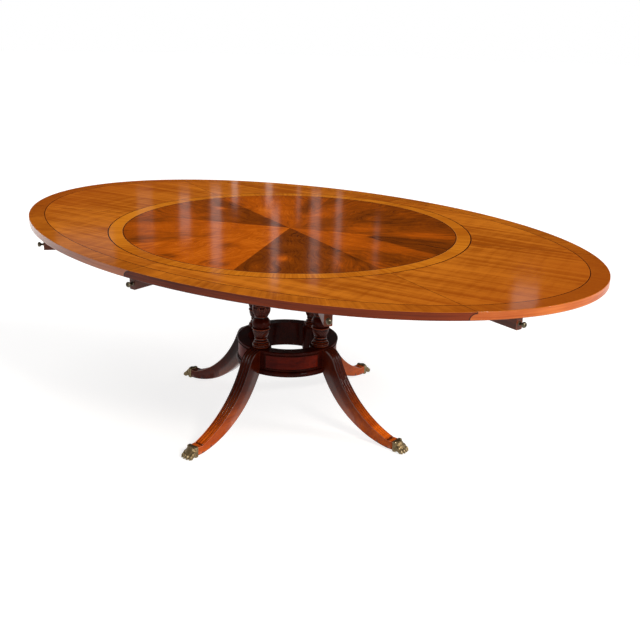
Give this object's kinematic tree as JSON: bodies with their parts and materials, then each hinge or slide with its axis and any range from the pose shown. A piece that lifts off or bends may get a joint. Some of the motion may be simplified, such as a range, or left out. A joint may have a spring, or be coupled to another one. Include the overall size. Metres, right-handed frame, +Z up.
{
  "type": "oval dining table",
  "caption": "Round pedestal dining table ringed by lift-off leaves that make it oval, on pull-out bars, turned columns, a ring platform and sabre legs.",
  "frame": {"origin": "on the floor, midway between the four feet, under the middle of the round top", "axes": "+X along the long axis of the oval, +Y along its short axis to the side away from the viewer, +Z up"},
  "size_m": [2.42, 1.634, 0.763],
  "materials": {
    "carcase": "satin",
    "leaf_veneer": "polished",
    "crossband": "polished",
    "flame_veneer": "polished",
    "dark_string": "polished",
    "light_band": "polished",
    "loper": "satin",
    "pedestal": "polished",
    "panel": "polished",
    "brass": "antique",
    "screw_steel": "zinc plated"
  },
  "bodies": {
    "stand": {"centre_board": "carcase", "centre_flame_veneers": "flame_veneer", "centre_strings": "dark_string", "centre_band": "light_band", "loper_guides": "carcase", "frame_plate": "carcase", "frame_screws": "screw_steel", "top_block": "pedestal", "column_right": "pedestal", "column_back": "pedestal", "column_left": "pedestal", "column_front": "pedestal", "platform": "pedestal", "platform_panels": "panel", "leg_right": "pedestal", "leg_back": "pedestal", "leg_left": "pedestal", "leg_front": "pedestal", "paw_right": "brass", "paw_back": "brass", "paw_left": "brass", "paw_front": "brass"},
    "leaf_back_right": {"leaf_back_right_board": "carcase", "leaf_back_right_field_veneer": "leaf_veneer", "leaf_back_right_crossband": "crossband"},
    "leaf_back_left": {"leaf_back_left_board": "carcase", "leaf_back_left_field_veneer": "leaf_veneer", "leaf_back_left_crossband": "crossband"},
    "leaf_left_end": {"leaf_left_end_board": "carcase", "leaf_left_end_field_veneer": "leaf_veneer", "leaf_left_end_crossband": "crossband"},
    "leaf_front_left": {"leaf_front_left_board": "carcase", "leaf_front_left_field_veneer": "leaf_veneer", "leaf_front_left_crossband": "crossband"},
    "leaf_front_right": {"leaf_front_right_board": "carcase", "leaf_front_right_field_veneer": "leaf_veneer", "leaf_front_right_crossband": "crossband"},
    "leaf_right_end": {"leaf_right_end_board": "carcase", "leaf_right_end_field_veneer": "leaf_veneer", "leaf_right_end_crossband": "crossband"},
    "loper_right_back": {"loper_right_back_bar": "loper", "loper_right_back_knob": "brass"},
    "loper_back_right": {"loper_back_right_bar": "loper", "loper_back_right_knob": "brass"},
    "loper_back": {"loper_back_bar": "loper", "loper_back_knob": "brass"},
    "loper_back_left": {"loper_back_left_bar": "loper", "loper_back_left_knob": "brass"},
    "loper_left_back": {"loper_left_back_bar": "loper", "loper_left_back_knob": "brass"},
    "loper_left_front": {"loper_left_front_bar": "loper", "loper_left_front_knob": "brass"},
    "loper_front_left": {"loper_front_left_bar": "loper", "loper_front_left_knob": "brass"},
    "loper_front": {"loper_front_bar": "loper", "loper_front_knob": "brass"},
    "loper_front_right": {"loper_front_right_bar": "loper", "loper_front_right_knob": "brass"},
    "loper_right_front": {"loper_right_front_bar": "loper", "loper_right_front_knob": "brass"}
  },
  "joints": [
    {"name": "leaf_back_right_lift_off", "type": "slide", "parent": "stand", "child": "leaf_back_right", "axis": [0.5556, 0.8315, 0], "range_m": [0, 0.3]},
    {"name": "leaf_back_left_lift_off", "type": "slide", "parent": "stand", "child": "leaf_back_left", "axis": [-0.5556, 0.8315, 0], "range_m": [0, 0.3]},
    {"name": "leaf_left_end_lift_off", "type": "slide", "parent": "stand", "child": "leaf_left_end", "axis": [-1, 0, 0], "range_m": [0, 0.3]},
    {"name": "leaf_front_left_lift_off", "type": "slide", "parent": "stand", "child": "leaf_front_left", "axis": [-0.5556, -0.8315, 0], "range_m": [0, 0.3]},
    {"name": "leaf_front_right_lift_off", "type": "slide", "parent": "stand", "child": "leaf_front_right", "axis": [0.5556, -0.8315, 0], "range_m": [0, 0.3]},
    {"name": "leaf_right_end_lift_off", "type": "slide", "parent": "stand", "child": "leaf_right_end", "axis": [1, 0, 0], "range_m": [0, 0.3]},
    {"name": "loper_right_back_slide", "type": "slide", "parent": "stand", "child": "loper_right_back", "axis": [0.9636, 0.2672, 0], "range_m": [-0.471, 0]},
    {"name": "loper_back_right_slide", "type": "slide", "parent": "stand", "child": "loper_back_right", "axis": [0.6691, 0.7431, 0], "range_m": [-0.2445, 0]},
    {"name": "loper_back_slide", "type": "slide", "parent": "stand", "child": "loper_back", "axis": [0, 1, 0], "range_m": [-0.121, 0]},
    {"name": "loper_back_left_slide", "type": "slide", "parent": "stand", "child": "loper_back_left", "axis": [-0.7193, 0.6947, 0], "range_m": [-0.2693, 0]},
    {"name": "loper_left_back_slide", "type": "slide", "parent": "stand", "child": "loper_left_back", "axis": [-0.9636, 0.2672, 0], "range_m": [-0.471, 0]},
    {"name": "loper_left_front_slide", "type": "slide", "parent": "stand", "child": "loper_left_front", "axis": [-0.9636, -0.2672, 0], "range_m": [-0.471, 0]},
    {"name": "loper_front_left_slide", "type": "slide", "parent": "stand", "child": "loper_front_left", "axis": [-0.6691, -0.7431, 0], "range_m": [-0.2445, 0]},
    {"name": "loper_front_slide", "type": "slide", "parent": "stand", "child": "loper_front", "axis": [0, -1, 0], "range_m": [-0.121, 0]},
    {"name": "loper_front_right_slide", "type": "slide", "parent": "stand", "child": "loper_front_right", "axis": [0.7193, -0.6947, 0], "range_m": [-0.2693, 0]},
    {"name": "loper_right_front_slide", "type": "slide", "parent": "stand", "child": "loper_right_front", "axis": [0.9636, -0.2672, 0], "range_m": [-0.471, 0]}
  ]
}
